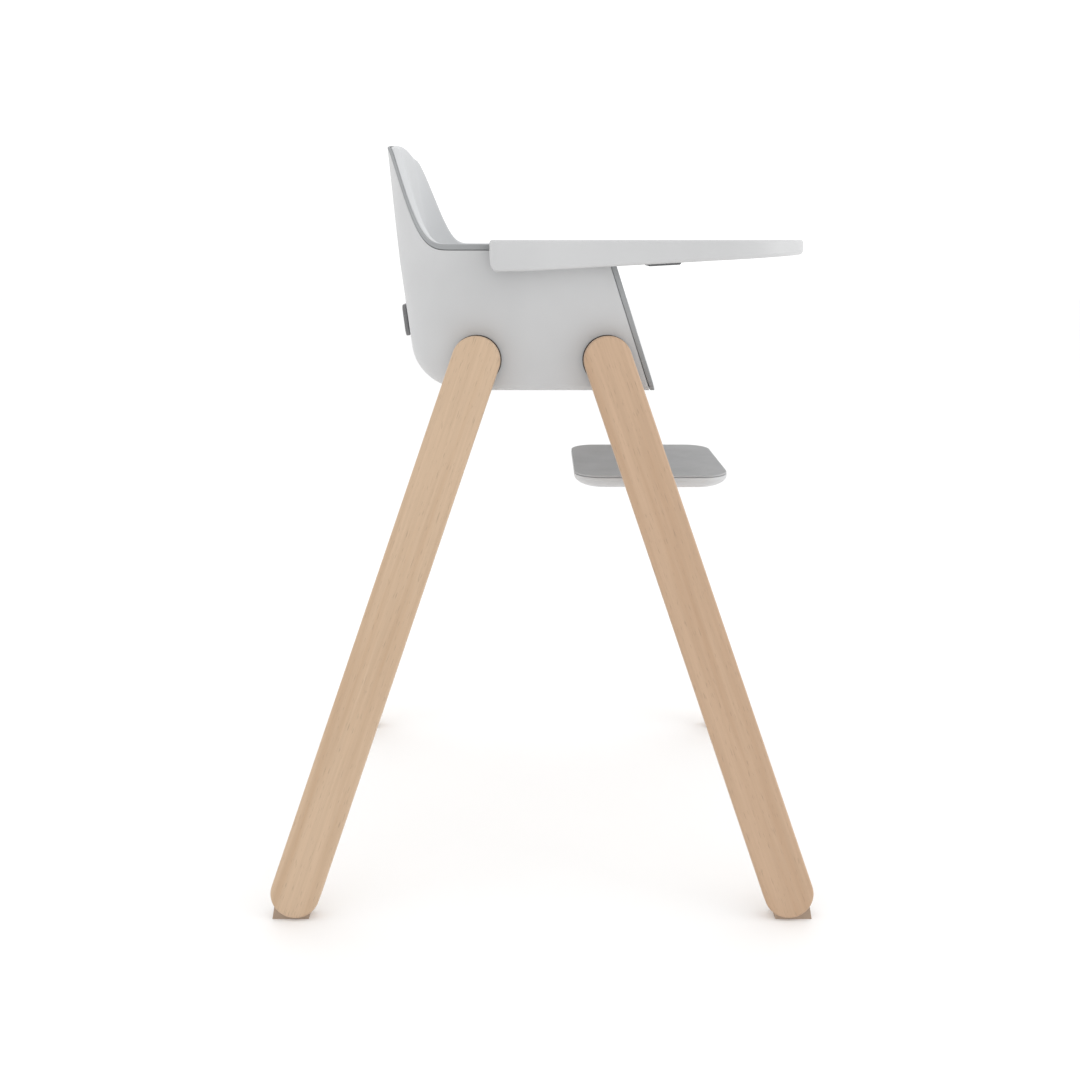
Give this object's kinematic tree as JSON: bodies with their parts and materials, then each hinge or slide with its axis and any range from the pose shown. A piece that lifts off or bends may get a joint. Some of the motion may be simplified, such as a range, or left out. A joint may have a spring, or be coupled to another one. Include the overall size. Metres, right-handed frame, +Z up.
{
  "type": "baby high chair",
  "caption": "Baby high chair: moulded bucket seat with grey rim on splayed wooden legs that fold, a sliding tray with release lever, a flip-up footrest and a waist harness.",
  "frame": {"origin": "on the floor under the centre of the chair's footprint", "axes": "+X to the chair's front, +Y to the child's left, +Z up"},
  "size_m": [0.6538, 0.5468, 0.93],
  "materials": {
    "shell_white": "fine satin moulded plastic",
    "liner_white": "soft-touch matt moulded plastic",
    "trim_grey": "matt grey moulded edge trim",
    "beech": "clear matt lacquer on beech, fine straight grain",
    "dark_plastic": "matt dark grey plastic",
    "steel": "zinc-plated steel",
    "foot_rubber": "matt taupe rubber",
    "mat_rubber": "matt grey rubber mat",
    "tray_white": "satin moulded plastic",
    "webbing": "woven polyester webbing"
  },
  "bodies": {
    "seat": {"seat_shell": "shell_white", "seat_liner": "liner_white", "rim_trim": "trim_grey", "handle_base": "shell_white", "handle_pin": "steel", "tray_rail_right": "dark_plastic", "tray_rail_left": "dark_plastic", "rear_right_bush": "dark_plastic", "rear_left_bush": "dark_plastic", "front_right_bush": "dark_plastic", "front_left_bush": "dark_plastic", "waist_guide_right": "dark_plastic", "waist_guide_left": "dark_plastic", "crotch_guide": "dark_plastic", "waist_strap_right": "webbing", "waist_strap_left": "webbing", "crotch_strap": "webbing", "buckle_tongue_right": "dark_plastic", "buckle_tongue_left": "dark_plastic", "buckle_body": "dark_plastic"},
    "rear_legs": {"rear_right_leg": "beech", "rear_right_foot": "foot_rubber", "rear_right_spacer": "dark_plastic", "rear_right_pivot_pin": "steel", "rear_right_link": "steel", "rear_left_leg": "beech", "rear_left_foot": "foot_rubber", "rear_left_spacer": "dark_plastic", "rear_left_pivot_pin": "steel", "rear_left_link": "steel", "rear_cross_bar": "steel"},
    "front_legs": {"front_right_leg": "beech", "front_right_foot": "foot_rubber", "front_right_spacer": "dark_plastic", "front_right_pivot_pin": "steel", "front_right_link": "steel", "front_left_leg": "beech", "front_left_foot": "foot_rubber", "front_left_spacer": "dark_plastic", "front_left_pivot_pin": "steel", "front_left_link": "steel", "front_cross_bar": "steel", "footrest_tube": "steel"},
    "footrest": {"footrest_base": "tray_white", "footrest_mat": "mat_rubber"},
    "tray": {"tray_body": "tray_white", "tray_runner_right": "tray_white", "tray_runner_left": "tray_white", "tray_lever_housing": "tray_white", "tray_lever_pin": "steel"},
    "tray_lever": {"tray_lever": "dark_plastic"},
    "release_handle": {"release_handle": "dark_plastic"},
    "buckle_button": {"buckle_button": "trim_grey"}
  },
  "joints": [
    {"name": "front_leg_fold", "type": "hinge", "parent": "seat", "child": "front_legs", "pos_m": [0.077, 0, 0.6725], "axis": [0, 1, 0], "range_deg": [0, 19]},
    {"name": "rear_leg_fold", "type": "hinge", "parent": "seat", "child": "rear_legs", "pos_m": [-0.077, 0, 0.6725], "axis": [0, -1, 0], "range_deg": [0, 19]},
    {"name": "footrest_flip", "type": "hinge", "parent": "front_legs", "child": "footrest", "pos_m": [0.13613, 0, 0.501], "axis": [0, -1, 0], "range_deg": [0, 75]},
    {"name": "tray_slide", "type": "slide", "parent": "seat", "child": "tray", "axis": [1, 0, 0], "range_m": [0, 0.1]},
    {"name": "tray_lever_squeeze", "type": "hinge", "parent": "tray", "child": "tray_lever", "pos_m": [0.1395, 0, 0.7862], "axis": [0, -1, 0], "range_deg": [0, 7], "stiffness_Nm_per_rad": 0.5, "springref_deg": -5.73},
    {"name": "release_handle_pull", "type": "hinge", "parent": "seat", "child": "release_handle", "pos_m": [-0.17516, 0, 0.72229], "axis": [0, 1, 0], "range_deg": [0, 10], "stiffness_Nm_per_rad": 0.5, "springref_deg": -5.73},
    {"name": "buckle_press", "type": "slide", "parent": "seat", "child": "buckle_button", "axis": [0, 0, -1], "range_m": [0, 0.003], "stiffness_N_per_m": 400, "springref_m": -0.001}
  ],
  "couplings": [
    {"joint": "rear_leg_fold", "follows": "front_leg_fold", "ratio": 1}
  ]
}
